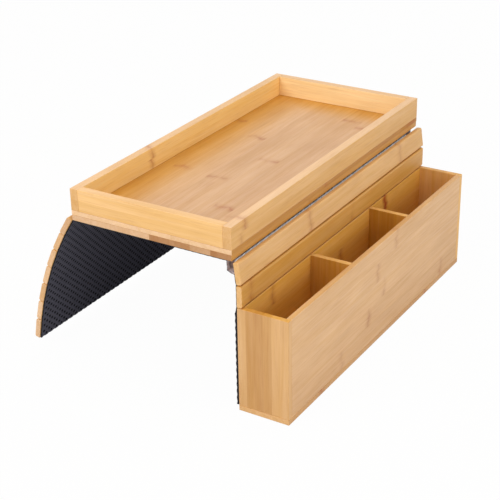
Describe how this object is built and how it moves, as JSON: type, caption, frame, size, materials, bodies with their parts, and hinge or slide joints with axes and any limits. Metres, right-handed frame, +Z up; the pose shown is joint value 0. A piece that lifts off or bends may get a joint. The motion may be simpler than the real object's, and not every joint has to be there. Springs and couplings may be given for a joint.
{
  "type": "sofa arm tray",
  "caption": "Bamboo tray on a flexible slatted mat that drapes over a sofa arm, with a divided open-top caddy hanging from one side.",
  "frame": {"origin": "middle of the backing's underside, the face that lies on the sofa arm", "axes": "+X across the arm towards the caddy, +Y along the arm, +Z up"},
  "size_m": [0.2945, 0.38, 0.1848],
  "materials": {
    "rail_bamboo": "satin clear lacquer on pale bamboo",
    "board_bamboo": "satin clear lacquer on side-pressed bamboo strips",
    "slat_bamboo": "satin clear lacquer on bamboo slats",
    "caddy_bamboo": "satin clear lacquer on bamboo panels",
    "backing": "matt black non-slip foam mesh"
  },
  "bodies": {
    "tray": {"tray_board": "board_bamboo", "side_rail_left": "rail_bamboo", "side_rail_right": "rail_bamboo", "end_rail_near": "rail_bamboo", "end_rail_far": "rail_bamboo", "base_slat_1": "slat_bamboo", "base_slat_2": "slat_bamboo", "base_slat_3": "slat_bamboo", "base_slat_4": "slat_bamboo", "base_slat_5": "slat_bamboo", "base_slat_6": "slat_bamboo", "base_slat_7": "slat_bamboo", "base_slat_8": "slat_bamboo", "backing_base": "backing"},
    "left_1": {"left_slat_1": "slat_bamboo", "backing_left_1": "backing"},
    "left_2": {"left_slat_2": "slat_bamboo", "backing_left_2": "backing"},
    "left_3": {"left_slat_3": "slat_bamboo", "backing_left_3": "backing"},
    "left_4": {"left_slat_4": "slat_bamboo", "backing_left_4": "backing"},
    "left_5": {"left_slat_5": "slat_bamboo", "backing_left_5": "backing"},
    "left_6": {"left_slat_6": "slat_bamboo", "backing_left_6": "backing"},
    "left_7": {"left_slat_7": "slat_bamboo", "backing_left_7": "backing"},
    "right_1": {"right_slat_1": "slat_bamboo", "backing_right_1": "backing"},
    "right_2": {"right_slat_2": "slat_bamboo", "backing_right_2": "backing"},
    "caddy": {"caddy_floor": "caddy_bamboo", "caddy_back": "caddy_bamboo", "caddy_front": "caddy_bamboo", "caddy_end_near": "caddy_bamboo", "caddy_end_far": "caddy_bamboo", "caddy_divider_near": "caddy_bamboo", "caddy_divider_far": "caddy_bamboo", "backing_caddy": "backing"}
  },
  "joints": [
    {"name": "left_fold_1", "type": "hinge", "parent": "tray", "child": "left_1", "pos_m": [-0.088, 0, 0], "axis": [0, -1, 0], "range_deg": [-57.5, 95]},
    {"name": "left_fold_2", "type": "hinge", "parent": "left_1", "child": "left_2", "pos_m": [-0.09966, 0, -0.01866], "axis": [0, 1, 0], "range_deg": [-41.3, 3.6]},
    {"name": "left_fold_3", "type": "hinge", "parent": "left_2", "child": "left_3", "pos_m": [-0.1101, 0, -0.03802], "axis": [0, 1, 0], "range_deg": [-41.3, 3.6]},
    {"name": "left_fold_4", "type": "hinge", "parent": "left_3", "child": "left_4", "pos_m": [-0.11928, 0, -0.05801], "axis": [0, 1, 0], "range_deg": [-41.3, 3.6]},
    {"name": "left_fold_5", "type": "hinge", "parent": "left_4", "child": "left_5", "pos_m": [-0.12717, 0, -0.07855], "axis": [0, 1, 0], "range_deg": [-41.3, 3.6]},
    {"name": "left_fold_6", "type": "hinge", "parent": "left_5", "child": "left_6", "pos_m": [-0.13372, 0, -0.09955], "axis": [0, 1, 0], "range_deg": [-41.3, 3.6]},
    {"name": "left_fold_7", "type": "hinge", "parent": "left_6", "child": "left_7", "pos_m": [-0.13892, 0, -0.12093], "axis": [0, 1, 0], "range_deg": [-41.3, 3.6]},
    {"name": "right_fold_1", "type": "hinge", "parent": "tray", "child": "right_1", "pos_m": [0.088, 0, 0], "axis": [0, -1, 0], "range_deg": [-75, 81.5]},
    {"name": "right_fold_2", "type": "hinge", "parent": "right_1", "child": "right_2", "pos_m": [0.09106, 0, -0.02179], "axis": [0, 1, 0], "range_deg": [-8, 37]},
    {"name": "caddy_fold", "type": "hinge", "parent": "right_2", "child": "caddy", "pos_m": [0.09106, 0, -0.04379], "axis": [0, 1, 0], "range_deg": [0, 45]}
  ]
}
